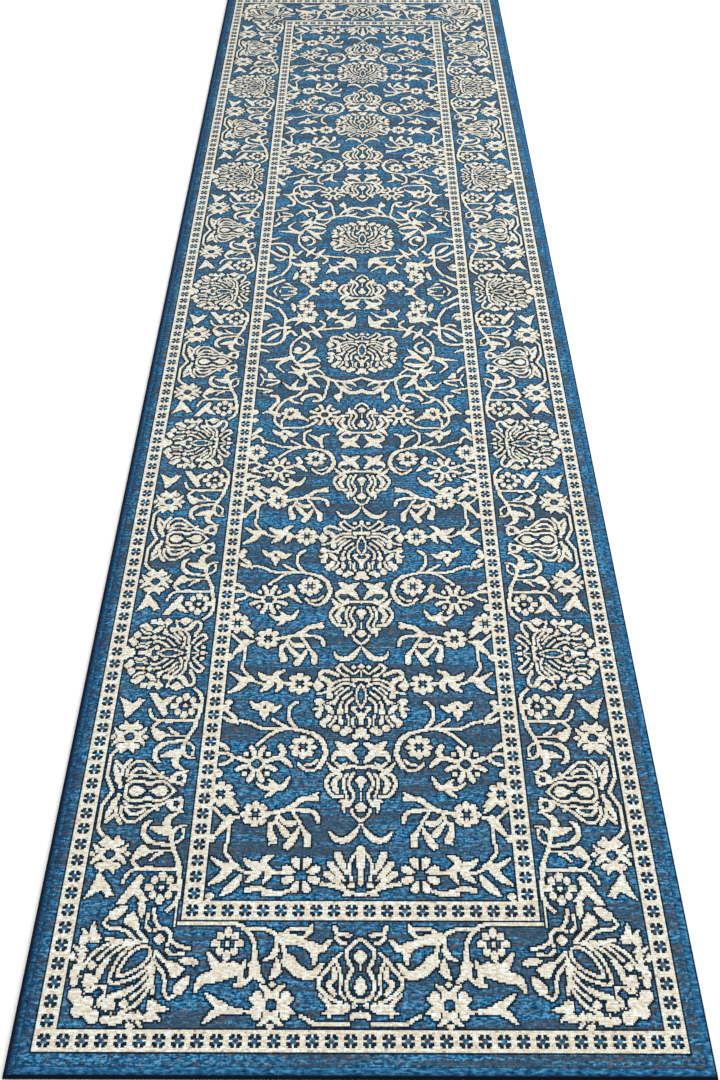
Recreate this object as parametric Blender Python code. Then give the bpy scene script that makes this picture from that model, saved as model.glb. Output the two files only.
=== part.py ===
"""Runner rug, 80 x 300 cm, lying flat: pile, ground weave, latex coat, backing cloth, and an
overcast binding round a cord along each of the four edges.

Frame: origin under the middle of the rug on the floor, +X across, +Y along, +Z up, in metres.
"""

import math

import bmesh
import bpy

# Overall size
WIDTH = 0.800
LENGTH = 3.000

# Layers, from the floor up
BACKING_THICKNESS = 0.0012
LATEX_THICKNESS = 0.0008
WEAVE_THICKNESS = 0.0020
PILE_HEIGHT = 0.0061
PILE_SHOULDER = 0.0012

# Edge binding: a yarn wall wrapped round a cord, open towards the ground weave
BINDING_WIDTH = 0.0120
BINDING_HEIGHT = 0.0104
CORD_DIAMETER = 0.0052
WRAP_LIP_ROUNDING = 0.0010

# Clearances
LAYER_GAP = 0.0003
MITRE_GAP = 0.0003

# Facets
BINDING_ARC_STEPS = 12
CORD_ARC_STEPS = 16
LIP_ARC_STEPS = 3
SHOULDER_STEPS = 3
EDGE_SMOOTH_ANGLE = math.radians(35)

# Heights that follow from the layers
LATEX_BOTTOM = BACKING_THICKNESS + LAYER_GAP
WEAVE_BOTTOM = LATEX_BOTTOM + LATEX_THICKNESS + LAYER_GAP
WEAVE_TOP = WEAVE_BOTTOM + WEAVE_THICKNESS
PILE_BOTTOM = WEAVE_TOP + LAYER_GAP

# Places that follow from the cord and its wrap. Inset is the distance in from the rug's edge.
CORD_RADIUS = CORD_DIAMETER / 2
CORD_BORE_RADIUS = CORD_RADIUS + LAYER_GAP
WRAP_RADIUS = BINDING_HEIGHT / 2
CORD_CENTRE_INSET = WRAP_RADIUS
SLOT_BOTTOM = WEAVE_BOTTOM - LAYER_GAP
SLOT_TOP = WEAVE_TOP + LAYER_GAP
CORD_CENTRE_HEIGHT = SLOT_BOTTOM + CORD_BORE_RADIUS
WEAVE_INSET = CORD_CENTRE_INSET + CORD_BORE_RADIUS
LAYER_INSET = BINDING_WIDTH + LAYER_GAP

# Linear colour and roughness of each kind of piece
FINISHES = {
    "pile_yarn": ((0.030, 0.120, 0.290), 0.95),
    "weave_yarn": ((0.055, 0.090, 0.150), 0.90),
    "latex": ((0.620, 0.600, 0.540), 0.60),
    "jute": ((0.430, 0.330, 0.210), 0.95),
    "binding_yarn": ((0.012, 0.045, 0.110), 0.85),
    "cord_fibre": ((0.560, 0.520, 0.440), 0.90),
}


def clear_scene():
    for old in list(bpy.data.objects):
        bpy.data.objects.remove(old, do_unlink=True)


def finish_material(name, finish):
    colour, roughness = FINISHES[finish]
    material = bpy.data.materials.new(name)
    material.use_nodes = True
    shader = material.node_tree.nodes["Principled BSDF"]
    shader.inputs["Base Color"].default_value = (*colour, 1.0)
    shader.inputs["Roughness"].default_value = roughness
    shader.inputs["Metallic"].default_value = 0.0
    return material


def add_object(name, shape, finish, smooth_angle=None):
    mesh = bpy.data.meshes.new(name)
    bmesh.ops.recalc_face_normals(shape, faces=shape.faces)
    shape.to_mesh(mesh)
    shape.free()
    if smooth_angle is not None:
        mesh.shade_smooth()
        mesh.set_sharp_from_angle(angle=smooth_angle)
    mesh.materials.append(finish_material(name, finish))
    piece = bpy.data.objects.new(name, mesh)
    bpy.context.scene.collection.objects.link(piece)
    return piece


def layer(name, finish, inset, bottom, thickness, shoulder=0.0):
    """A flat sheet of the rug, with its upper rim rounded off by shoulder."""
    half_width = WIDTH / 2 - inset
    half_length = LENGTH / 2 - inset
    shape = bmesh.new()
    base = [
        shape.verts.new((sx * half_width, sy * half_length, bottom))
        for sx, sy in ((-1, -1), (1, -1), (1, 1), (-1, 1))
    ]
    floor_face = shape.faces.new(base)
    grown = bmesh.ops.extrude_face_region(shape, geom=[floor_face])
    upper = [part for part in grown["geom"] if isinstance(part, bmesh.types.BMVert)]
    bmesh.ops.translate(shape, vec=(0, 0, thickness), verts=upper)
    if shoulder > 0:
        rim = [edge for edge in shape.edges if all(vert in upper for vert in edge.verts)]
        bmesh.ops.bevel(
            shape, geom=rim, offset=shoulder, segments=SHOULDER_STEPS, profile=0.5, affect="EDGES",
        )
    return add_object(name, shape, finish)


def arc(centre_inset, centre_height, radius, start, end, steps):
    """Points of an arc in the section plane, as (inset, height), angles in degrees."""
    points = []
    for step in range(steps + 1):
        angle = math.radians(start + (end - start) * step / steps)
        points.append((centre_inset + radius * math.cos(angle), centre_height + radius * math.sin(angle)))
    return points


def binding_section():
    """The wrap's section: a round outer wall, a round bore for the cord, and a slot to the bore."""
    outer_wall = arc(CORD_CENTRE_INSET, WRAP_RADIUS, WRAP_RADIUS, 270, 90, BINDING_ARC_STEPS)
    upper_lip = arc(
        BINDING_WIDTH - WRAP_LIP_ROUNDING, BINDING_HEIGHT - WRAP_LIP_ROUNDING,
        WRAP_LIP_ROUNDING, 90, 0, LIP_ARC_STEPS,
    )
    slot_rise = math.degrees(math.asin((SLOT_TOP - CORD_CENTRE_HEIGHT) / CORD_BORE_RADIUS))
    bore = arc(
        CORD_CENTRE_INSET, CORD_CENTRE_HEIGHT, CORD_BORE_RADIUS, slot_rise, 270, CORD_ARC_STEPS,
    )
    return (
        outer_wall
        + upper_lip
        + [(BINDING_WIDTH, SLOT_TOP)]
        + bore
        + [(BINDING_WIDTH, SLOT_BOTTOM), (BINDING_WIDTH, 0.0)]
    )


def cord_section():
    one_step = 360 / CORD_ARC_STEPS
    return arc(CORD_CENTRE_INSET, CORD_CENTRE_HEIGHT, CORD_RADIUS, 360, one_step, CORD_ARC_STEPS - 1)


def edge_run(name, finish, section, edge_length):
    """Runs a section along one edge of the rug, with mitred ends.

    It is made along +Y at the rug's left side, with x as the inset, and placed by its object.
    """
    end_gap = MITRE_GAP / 2 * math.sqrt(2)
    shape = bmesh.new()
    rings = []
    for side in (-1, 1):
        rings.append([
            shape.verts.new((inset, side * (edge_length / 2 - inset - end_gap), height))
            for inset, height in section
        ])
    near_ring, far_ring = rings
    shape.faces.new(near_ring)
    shape.faces.new(far_ring)
    bmesh.ops.bridge_loops(shape, edges=list(shape.edges))
    return add_object(name, shape, finish, EDGE_SMOOTH_ANGLE)


def build_edges():
    """Each edge's place on the rug's outline, and the turn that points its inset inwards."""
    for edge, edge_length, place, turn in (
        ("left", LENGTH, (-WIDTH / 2, 0.0), 0),
        ("right", LENGTH, (WIDTH / 2, 0.0), 180),
        ("near", WIDTH, (0.0, -LENGTH / 2), 90),
        ("far", WIDTH, (0.0, LENGTH / 2), 270),
    ):
        for name, finish, section in (
            (f"{edge}_binding", "binding_yarn", binding_section()),
            (f"{edge}_edge_cord", "cord_fibre", cord_section()),
        ):
            piece = edge_run(name, finish, section, edge_length)
            piece.location = (*place, 0.0)
            piece.rotation_euler = (0.0, 0.0, math.radians(turn))


def build_layers():
    layer("backing_cloth", "jute", LAYER_INSET, 0.0, BACKING_THICKNESS)
    layer("latex_coat", "latex", LAYER_INSET, LATEX_BOTTOM, LATEX_THICKNESS)
    layer("ground_weave", "weave_yarn", WEAVE_INSET, WEAVE_BOTTOM, WEAVE_THICKNESS)
    layer("pile_face", "pile_yarn", LAYER_INSET, PILE_BOTTOM, PILE_HEIGHT, PILE_SHOULDER)


clear_scene()
build_layers()
build_edges()
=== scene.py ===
import math

import bpy
import numpy as np
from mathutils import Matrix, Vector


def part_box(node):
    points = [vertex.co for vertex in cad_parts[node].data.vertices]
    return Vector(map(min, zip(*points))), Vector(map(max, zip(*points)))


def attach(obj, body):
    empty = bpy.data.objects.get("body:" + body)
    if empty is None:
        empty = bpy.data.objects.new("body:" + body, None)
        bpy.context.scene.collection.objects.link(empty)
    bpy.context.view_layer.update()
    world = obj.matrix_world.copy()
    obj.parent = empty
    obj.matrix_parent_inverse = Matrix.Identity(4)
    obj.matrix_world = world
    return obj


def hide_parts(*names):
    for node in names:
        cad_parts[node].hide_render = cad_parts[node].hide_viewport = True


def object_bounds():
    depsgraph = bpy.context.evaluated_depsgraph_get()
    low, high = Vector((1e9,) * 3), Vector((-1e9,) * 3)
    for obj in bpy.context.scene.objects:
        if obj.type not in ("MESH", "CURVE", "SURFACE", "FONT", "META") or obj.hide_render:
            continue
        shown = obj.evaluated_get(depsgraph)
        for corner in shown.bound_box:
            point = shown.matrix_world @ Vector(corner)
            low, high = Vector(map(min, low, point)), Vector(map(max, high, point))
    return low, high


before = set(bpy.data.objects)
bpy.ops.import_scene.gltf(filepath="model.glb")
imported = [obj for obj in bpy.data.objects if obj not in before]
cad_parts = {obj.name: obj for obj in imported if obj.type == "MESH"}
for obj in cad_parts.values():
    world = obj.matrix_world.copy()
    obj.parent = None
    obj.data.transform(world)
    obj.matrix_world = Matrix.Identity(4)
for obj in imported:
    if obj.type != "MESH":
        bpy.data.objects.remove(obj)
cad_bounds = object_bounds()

SEED = 20

# The design's point paper: one square for each tuft
TUFTS_ACROSS = 355
TUFTS_ALONG = 1355
MID_ACROSS = TUFTS_ACROSS / 2
MID_ALONG = TUFTS_ALONG / 2
PLAIN_BAND = 7
GUARD_WIDTH = 11
INNER_GUARD = 77
FIELD = INNER_GUARD + GUARD_WIDTH
STAR_REPEAT = 10
FIELD_REPEAT = 131.4
STAR = """
.##.##.
###.###
##ooo##
..ooo..
##ooo##
###.###
.##.##.
"""

# ---------------------------------------------------------------- drawing tools

# A shape: a path, its half width at each point (None fills the outline), and whether it adds cream
PATH_STEP = 0.4
PARTING = 1.1


def smooth_path(points):
    """Points close together on a Catmull-Rom curve through the given ones."""
    points = np.array(points, float)
    if len(points) == 1:
        return points
    padded = np.vstack([2 * points[0] - points[1], points, 2 * points[-1] - points[-2]])
    run = []
    for before, start, end, after in zip(padded, padded[1:], padded[2:], padded[3:]):
        count = max(2, int(np.linalg.norm(end - start) / PATH_STEP))
        t = np.arange(count)[:, None] / count
        run.append(0.5 * (
            2 * start + (end - before) * t
            + (2 * before - 5 * start + 4 * end - after) * t**2
            + (3 * start - before - 3 * end + after) * t**3
        ))
    return np.vstack([*run, points[-1:]])


def shaped(width, points, profile):
    """A stroke whose width follows a profile along it."""
    path = smooth_path(points)
    along = np.linspace(0, 1, len(path))
    return path, width / 2 * profile(along), True


def line(width, *points):
    """As wide all along."""
    return shaped(width, points, lambda t: np.ones_like(t))


def leaf(width, *points):
    """Widest in the middle and pointed at both ends."""
    return shaped(width, points, lambda t: np.maximum(np.sin(math.pi * t) ** 0.6, 0.35))


def petal(width, *points):
    """Narrow where it grows from, and round at its tip."""
    return shaped(width, points, lambda t: 0.4 + 0.6 * np.sin(math.pi / 2 * np.minimum(t / 0.8, 1)))


def horn(width, *points):
    """Wide where it grows from, and pointed at its tip."""
    return shaped(width, points, lambda t: 1.12 - 0.8 * t**1.6)


def dot(radius, x, y):
    return np.array([[x, y]], float), np.array([radius]), True


def patch(*corners):
    """A filled outline with straight sides."""
    return np.array(corners, float), None, True


def cut(shape, wider=0.0):
    """Takes the shape out of what was drawn before it."""
    path, reach, _ = shape
    return path, reach + wider, False


def parted(*shapes):
    """The shapes, each kept clear of what was drawn before it."""
    return [part for shape in shapes for part in (cut(shape, wider=PARTING), shape)]


def flipped(shape):
    path, reach, adds = shape
    return path * (-1, 1), reach, adds


def both_sides(shapes):
    """The shapes and their mirror images about the motif's own middle line."""
    return [side for shape in shapes for side in (shape, flipped(shape))]


def ring_of(count, shapes):
    """The shapes repeated around the motif's own middle."""
    ring = []
    for turn in range(count):
        angle = 2 * math.pi * turn / count
        c, s = math.cos(angle), math.sin(angle)
        ring += [(path @ np.array([[c, s], [-s, c]]), reach, adds) for path, reach, adds in shapes]
    return ring


class Cartoon:
    """The design on point paper: a cell for each tuft, and which are cream or in a star's blue heart."""

    def __init__(self, rows, columns):
        self.cream = np.zeros((rows, columns), bool)
        self.hearts = np.zeros((rows, columns), bool)

    def stamp(self, path, reach, adds):
        """Adds or takes away cream in the cells whose middles lie in a shape."""
        margin = 1.0 if reach is None else reach.max() + 1
        low = np.maximum(np.floor(path.min(0) - margin), 0).astype(int)
        high = np.minimum(np.ceil(path.max(0) + margin), self.cream.shape[::-1]).astype(int)
        if (high <= low).any():
            return
        x, y = np.meshgrid(np.arange(low[0], high[0]) + 0.5, np.arange(low[1], high[1]) + 0.5)
        inside = np.zeros(x.shape, bool)
        if reach is None:
            for (ax, ay), (bx, by) in zip(path, np.roll(path, -1, 0)):
                if ay != by:
                    crossed = (ay > y) != (by > y)
                    inside ^= crossed & (x < ax + (y - ay) * (bx - ax) / (by - ay))
        else:
            away = (x[..., None] - path[:, 0]) ** 2 + (y[..., None] - path[:, 1]) ** 2
            inside = (away <= reach**2).any(-1)
        self.cream[low[1]:high[1], low[0]:high[0]][inside] = adds

    def place(self, shapes, x, y, turn=0, flip=False, size=1.0):
        """Draws shapes about a point: flipped left to right, then turned in degrees."""
        c, s = math.cos(math.radians(turn)), math.sin(math.radians(turn))
        for path, reach, adds in shapes:
            if flip:
                path = path * (-1, 1)
            turned = path @ np.array([[c, s], [-s, c]]) * size + (x, y)
            self.stamp(turned, None if reach is None else reach * size, adds)

    def frame(self, inset, width, filled=True):
        """A band that runs round the rug at one distance from its edge."""
        rows, columns = self.cream.shape
        self.cream[inset:, inset:inset + width] = filled
        self.cream[inset:inset + width, inset:] = filled


# ---------------------------------------------------------------- motifs


def round_palmette():
    """A round flower head seen from the side: crown, bar, long drop, sprays and a rim of petals."""
    return both_sides([
        line(1.6, (0, -3.5), (2.2, -7.5), (3.2, -12), (2.6, -17), (0, -21.8)),
        patch((0, 1.5), (7, 1.5), (6.6, -0.2), (5.2, -2.6), (3.6, -2.4), (2.6, -1.0), (0, -1.2)),
        line(1.5, (0, 2.8), (0, 6)),
        patch((0, 13.5), (2.1, 10.8), (1.7, 8.8), (0, 8.8)),
        dot(1.6, 5, 10),
        line(1.5, (1.5, 7.6), (3, 6.2), (5, 4.3)),
        line(1.8, (5.2, 4.4), (8.5, 7.2), (11.5, 10.2), (12.8, 12.5)),
        line(2.0, (13, 12.3), (16, 9.5), (14.2, 6.2), (11, 3.4), (8.8, 2.6)),
        line(2.6, (15.5, 3.4), (18.5, 4.8), (21, 6.3), (24.5, 6.8), (27.3, 4.8), (26.6, 1.8), (21.5, -1)),
        line(1.8, (8, -0.3), (12.8, -0.4), (15.5, -1.3), (18.2, -3.2), (21, -6.8), (23, -9.8), (29, -11.6)),
        patch(
            (24.3, -4.5), (27, -2.2), (28.8, 0.8), (30.4, -1.5), (31.6, -4.5), (30.4, -8),
            (28.2, -9.6), (26, -7),
        ),
        line(1.9, (4.2, -4.8), (8.5, -3.3), (12.5, -3.6), (15.5, -5.5), (18.7, -8.3)),
        line(1.7, (12, -6.6), (15, -9), (17, -11.6)),
        line(1.7, (8.5, -7), (12, -9.8), (14.5, -12.5), (16, -15.5), (17.6, -19.6)),
        line(1.7, (6, -10), (9.5, -13), (12, -16), (13.3, -20)),
        line(1.9, (5.3, -14.5), (8, -17.5), (9.5, -20.5), (9.5, -24), (8.5, -27), (6.5, -29)),
        patch(
            (2.8, -20.5), (5.5, -20.5), (6.7, -22.5), (5, -25), (3, -27.5), (2.2, -30), (0, -28),
            (3.2, -24),
        ),
        line(3.2, (0, -27), (0, -33.5)),
        line(3.8, (25.8, 0.8), (22.6, -0.4), (20.6, -3.4)),
        line(2.8, (21.2, -7.6), (21, -11)),
        dot(2.4, 20.4, -12.8),
        line(2.2, (16, -15.8), (19.4, -18.4), (22.8, -18.8), (26, -16.8)),
        dot(2.7, 27.6, -17.2),
        line(2.8, (26.6, -18), (26, -22), (26.8, -27)),
        line(2.2, (26.6, -22.8), (30, -23.2)),
        dot(2.3, 27.6, -27.6),
        dot(2.2, 20.8, -29.4),
        dot(3.6, 22.6, -33.4),
        dot(2.8, 16, -37.4),
        dot(2.4, 11.2, -40.6),
        dot(2.7, 8, -38.2),
        dot(2.0, 3.4, -43.6),
        dot(3.8, 0, -40.8),
        *parted(
            leaf(3.8, (23.6, -19.8), (20.6, -23.2), (17.6, -27.2)),
            line(2.0, (13.6, -22), (12.8, -18)),
            line(2.0, (16.8, -28.8), (17.4, -32), (20.4, -35.6)),
            line(2.4, (13.4, -29.4), (12.8, -34)),
            line(1.9, (9, -28), (7.6, -31), (7.4, -35)),
            line(1.7, (4.8, -29.6), (5.8, -33), (4.6, -36.6)),
        ),
        dot(2.2, 13.6, -25),
    ])


def lotus():
    """A bell of nested petals hanging from a collar, a bud in its mouth, and a pair of leaves above."""
    return both_sides([
        line(2.2, (0, 1.5), (6, 2.1), (11, 0.8), (15.4, -1.6)),
        horn(3.4, (14.4, -1.4), (17.6, 0), (20.8, 4.8)),
        horn(2.8, (11.6, 0.8), (10.4, 3), (9, 4.8)),
        horn(2.6, (12.4, 1.4), (14.4, 3.2), (16.8, 5.6)),
        line(2.4, (15, -2), (19.4, -4.6), (21.4, -9.4), (20, -14), (17, -18.2), (11.6, -18.8)),
        line(3.2, (12.6, -4), (15.6, -7.6), (16.6, -11), (14.8, -15)),
        line(1.8, (8.4, -3), (10.6, -7.6), (10.6, -12.4), (8.9, -17), (9.4, -21.4), (12.8, -22)),
        line(2.0, (4.6, -2.6), (6.8, -7), (7, -12), (5, -16), (5, -20.6), (7.6, -25)),
        horn(3.4, (8.4, -22.6), (10.4, -25), (10, -28.6)),
        dot(3.2, 0, -7.6),
        horn(3.0, (0, -10), (0, -14)),
        line(1.8, (0, -16.6), (0, -21)),
        dot(3.2, 0, -25.8),
        line(1.9, (5.6, -27.4), (4.4, -31), (1.8, -33.6), (0, -34.6)),
        dot(3.9, 9.8, 13),
        horn(4.6, (8, 14.4), (5.4, 16.8), (2.2, 18.8)),
        horn(5.0, (11, 15), (13, 17.4), (15.6, 19.6)),
        horn(4.4, (12, 11.6), (16, 10.6), (17.4, 6.2)),
        horn(4.6, (7.4, 11), (4.6, 8), (2.4, 4.8)),
    ])


def crescent():
    """A curl on each side of the middle, between a lotus and the crown of a round palmette."""
    return both_sides([leaf(4.0, (18.4, 0), (15.6, -4), (10.6, -5.4), (5.6, -2.6), (0.6, 4.6))])


def bell_palmette():
    """A bell flower standing on a bar: a bud in a hood, a round heart, and leaves curling out."""
    return both_sides([
        dot(3.5, 0, 38.6),
        line(1.3, (0, 35.4), (0, 31.5)),
        line(
            2.0, (0, 48.4), (4, 45.6), (7.6, 41), (6.6, 36), (4.8, 31.4), (7.2, 25.6), (6.6, 18.6),
            (3, 15.4), (0, 15),
        ),
        patch((0, 28), (2.4, 25), (3.3, 21.5), (2.4, 18.6), (0, 18.2)),
        line(1.7, (10.4, 40.6), (13.4, 37), (11.6, 32), (10.4, 26), (11, 20), (8, 16)),
        line(2.0, (14.6, 36.6), (17.2, 32.6), (21, 28), (22.8, 23.4), (19.8, 19), (14.6, 15.6), (10, 13.6)),
        line(2.6, (14.4, 32), (14.2, 26.6), (17, 23.4), (14, 18.6)),
        horn(3.4, (7, 11.8), (14, 11.2), (22.4, 18.4)),
        horn(3.4, (8, 11), (14, 10.4), (20.4, 8)),
        line(1.8, (9, 8.6), (15.4, 8.6), (16.6, 6.4)),
        dot(1.5, 3.4, 12.2),
        patch((0, 9.6), (3.4, 9.2), (6, 6.6), (5, 5.2), (0, 6.0)),
        line(2.2, (6.5, 3), (15, 3), (23.5, 3), (27.5, 5), (31.5, 7)),
    ])


def corner_palmette():
    """A great palmette set cornerwise: a ringed bud, an oval drop, fanned strokes and a rim of petals."""
    return both_sides([
        dot(2.8, 0, 0),
        line(2.0, (0, 6.6), (3.8, 5.4), (5.8, 1.6)),
        line(1.8, (0, -6.6), (3.4, -9), (4.8, -14), (4.4, -19), (2.8, -24.6), (0, -29)),
        line(1.9, (4.8, -6.4), (7.4, -11), (8.0, -17), (6.8, -23.6), (2.2, -32.4), (0, -33.4)),
        line(1.9, (8.6, -10.8), (11.2, -18), (11.6, -26), (9.4, -34.6), (5.4, -38)),
        line(1.9, (10.6, -11.6), (13.8, -17.4), (15.2, -24.6), (14.6, -30.8)),
        line(2.0, (13, -15.4), (16.6, -19.6), (18.6, -25), (18.8, -32), (17.6, -36.6)),
        line(1.9, (8.6, -12), (13, -15), (17.4, -18), (20.8, -20.6)),
        line(
            1.9, (7, -9.4), (12, -9.6), (17, -10.4), (21.4, -12.8), (25.6, -16.2), (29, -16),
            (30.2, -12.8),
        ),
        line(2.0, (4.4, -5.6), (9, -5.8), (14, -5)),
        patch((13, -3.4), (18, -1.2), (23, -0.4), (23.6, -5), (21.4, -8.4), (16, -7), (13, -6.6)),
        petal(5.8, (27.8, -1.8), (29, -9.6)),
        line(1.9, (7.4, -0.8), (12, 0), (15.4, 4.4)),
        petal(4.0, (17.0, 0.6), (23.6, 5.8)),
        line(2.0, (6.4, 4.4), (11, 5.4), (16, 8.8)),
        dot(3.0, 25.4, -24.6),
        dot(2.4, 29.4, -23.8),
        horn(2.8, (29.6, -23.4), (33.6, -19.4)),
        horn(3.0, (28, -26.4), (32, -26.4), (35.4, -27)),
        dot(2.9, 29.2, -29.2),
        line(2.4, (29, -31), (26.6, -32.8), (23.6, -32.4)),
        dot(2.7, 22.4, -36.8),
        dot(2.3, 25.8, -39.2),
        line(1.8, (22, -34.6), (26, -35), (29.8, -36)),
        dot(2.3, 18.2, -39),
        dot(2.7, 17.6, -44),
        dot(2.4, 14, -46.8),
        line(2.4, (18.4, -39), (20.8, -41.6)),
        dot(3.7, 8.6, -41),
        horn(3.2, (10.6, -39.6), (14, -42.8)),
        line(2.0, (6, -43.4), (5.6, -46.8), (8, -48)),
        dot(3.5, 8.2, -50.8),
        dot(3.0, 3.8, -51.4),
        dot(3.6, 0, -54.4),
        dot(2.9, 0, -47.8),
        dot(2.3, 14.4, -34.8),
        line(2.6, (10.8, -27), (8.6, -33), (6.8, -36)),
        line(1.7, (0, -36.8), (3.2, -39.4), (3.6, -44)),
        *[cut(shape) for shape in (
            line(1.3, (22.4, -29.6), (26, -30)),
            line(1.2, (30.4, -25.2), (33, -25)),
            line(1.2, (11.4, -43), (13.6, -41)),
            line(1.2, (23.6, -38), (27, -37.4)),
            line(1.2, (4.6, -48), (6.4, -46)),
        )],
    ])


def eight_petals():
    """A rosette seen from above, with a blue eye."""
    half_petal = [line(2.5, (1.5, 4), (2.2, 8)), line(3.2, (2.5, 8.6), (4.0, 11.6))]
    petals = half_petal + [flipped(shape) for shape in half_petal]
    return ring_of(4, petals) + [dot(5.2, 0, 0), cut(dot(3.3, 0, 0))]


def dotted_rosette():
    """The rosette with a dot between each two petals."""
    return eight_petals() + ring_of(4, [dot(1.7, 6.9, 6.9)])


def wide_rosette():
    """A rosette with a broad wing on two sides and a pair of spread petals on the other two."""
    half = both_sides([
        horn(3.8, (1.2, 4.6), (3.0, 7.8), (6.4, 10.4)),
        line(4.4, (7.3, 0), (7.5, 5.4)),
        horn(2.8, (8.6, 2.2), (12.2, 4.3)),
    ])
    return ring_of(2, [*half, dot(1.7, 0, 10.8)]) + [dot(5.6, 0, 0), cut(dot(3.4, 0, 0))]


def round_flower():
    """A flower with eight rounded petals in pairs."""
    return ring_of(4, [petal(4.6, (4.4, 1.8), (8.6, 3.5)), petal(4.6, (4.4, -1.8), (8.6, -3.5))])


def square_flower():
    """A small eight-petalled flower in a square, its petals touching."""
    return ring_of(4, [dot(2.5, 4.3, 4.1), petal(3.8, (2.6, 0), (6.8, 0))]) + [cut(dot(1.9, 0, 0))]


def eyed_flower():
    """A small eight-petalled flower round a ringed eye."""
    return ring_of(4, [dot(2.2, 4.2, 4.2), petal(4.2, (4.6, 0), (7.2, 0))]) + [dot(1.4, 0, 0)]


def forked_leaf():
    """A leaf with two swept lobes and a thin tail, like a bird in flight."""
    return [
        horn(4.4, (1, 0), (-4.5, 3.375), (-9, 7.5)),
        horn(4.4, (1, 0), (-4.5, -3), (-9, -7.5)),
        horn(4.2, (-1, 0), (5.85, -1.2), (13, -1.6)),
    ]


def swallow_leaf():
    """A leaf with two upturned wings and a short swept tail."""
    return [
        horn(3.8, (1.5, -0.4), (-5, -1.4), (-10.4, 2.2)),
        horn(4.2, (-1, 0), (5.4, -0.6), (9.6, 6.2)),
        horn(4.0, (0.4, 0), (-1, -4.4), (-4.4, -7)),
        horn(2.6, (0, 1), (-1.6, 3.2), (-3.4, 5)),
    ]


def winged_leaf():
    """A leaf with two upturned wings over a round tail."""
    return [
        horn(4.4, (-3.2, -1.4), (-6, -0.8), (-9.6, 3)),
        line(3.2, (-3.8, -1.2), (-1, 1.4), (2.4, 1.2), (4.4, -1.4)),
        horn(4.6, (3.4, -0.6), (6.2, -3), (10.8, -0.4)),
        dot(3.1, 0, -5.6),
        horn(2.8, (0, -7.8), (0.4, -11.2)),
    ]


def drooping_spray():
    """A stem along which leaves hang, with one leaf rising."""
    return [
        line(2.6, (-15, -3.4), (-9, -2), (-3, -1), (3, -1.4), (9, -2), (12.6, -4.4), (14, -9)),
        line(3.4, (-4, -0.4), (0, 2.4), (3.4, 5.6), (8, 6.6), (12.6, 6.4)),
        horn(2.8, (9, 7), (13.8, 10.4)),
        line(2.4, (-10, -3.6), (-11, -7.6), (-13.4, -10.4)),
        petal(4.4, (-14.6, -9.6), (-14.4, -16), (-12, -21.4)),
        horn(2.8, (-12, -21), (-14.6, -23.6)),
        petal(3.8, (-10.6, -9), (-8, -13), (-4.2, -17.8)),
        petal(3.8, (-9, -6.2), (-5.6, -9.6), (-0.4, -9.8)),
        line(2.0, (-1.4, -3), (2, -8), (4, -12), (5.6, -14.6)),
        petal(4.4, (5, -13.6), (8, -19), (8, -23.4)),
        petal(4.4, (2.6, -13.4), (0.4, -18), (-3.6, -24.6)),
    ]


def leaf_cluster():
    """Four lobes about a vine's end."""
    return [
        line(4.2, (-5, 1), (0, 1), (3, -1)),
        horn(4.6, (-4, 1.6), (-8, 2.6), (-11.8, 6.2)),
        horn(4.4, (0, 1), (0.6, 5.4), (5.4, 8)),
        horn(5.0, (-3.4, -1.4), (-5.4, -5), (-9.2, -8.2)),
        horn(4.0, (3, -1.4), (2.8, -5), (0.4, -8.6)),
        line(2.4, (2, -1.4), (9, -2.6)),
    ]


def field_repeat():
    """What lies on one side between two lotuses, from a vine at the guard to the palmettes."""
    return [
        line(
            2.2, (100, 339.4), (107, 337.4), (113, 334), (122, 333), (131, 333.4), (140, 332),
            (147.5, 329.4),
        ),
        line(2.2, (112, 321.5), (116, 325.5), (122, 330.5), (128, 333)),
        line(3.2, (147.5, 329.4), (152.5, 325), (155, 318), (154.6, 312), (151.5, 306)),
        line(2.0, (151.5, 306), (147, 303), (142, 304.5), (138.5, 308.5)),
        line(1.7, (142.5, 307), (147, 307.6), (150.6, 311)),
        line(2.0, (121, 340.4), (126, 337), (130, 334.4)),
        line(2.4, (136, 334), (133, 337.6), (131, 342), (131, 348), (133, 351.6), (136, 353.6)),
        line(3.4, (127, 320.5), (129, 316), (127, 312.6), (131, 310)),
        horn(3.2, (130, 310.6), (135, 305.5)),
        line(2.2, (127, 312.6), (123, 311)),
        line(1.9, (98.5, 268), (99, 258), (98, 250), (101, 245), (105, 240), (110, 237), (116, 236)),
        horn(4.0, (104.4, 240.4), (98, 240.6), (90.5, 245.4)),
        horn(5.0, (101, 239.4), (97, 233.6), (90.5, 229.4)),
        line(2.0, (89, 277.6), (93, 273), (97, 270.6), (104, 271.4)),
        horn(5.0, (99, 270.4), (95.5, 265.5), (91, 259.6)),
        leaf(3.4, (94.6, 283.4), (99, 279.4), (103.5, 274.6)),
        line(1.8, (97.4, 285), (103, 279)),
        leaf(3.2, (90.6, 214.4), (95, 211.6), (98.6, 205.6)),
        leaf(3.0, (89, 210.6), (93.6, 207.6), (97, 206.6)),
        line(3.0, (88, 322), (91, 320.6), (94, 318.4)),
        line(2.4, (88, 315), (93, 315.6), (97.6, 312.6), (94.6, 309), (90, 307.4)),
        dot(3.0, 89, 301),
        dot(2.6, 89, 258),
        dot(2.2, 91.5, 222),
        dot(2.6, 90, 217.6),
    ]


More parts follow.
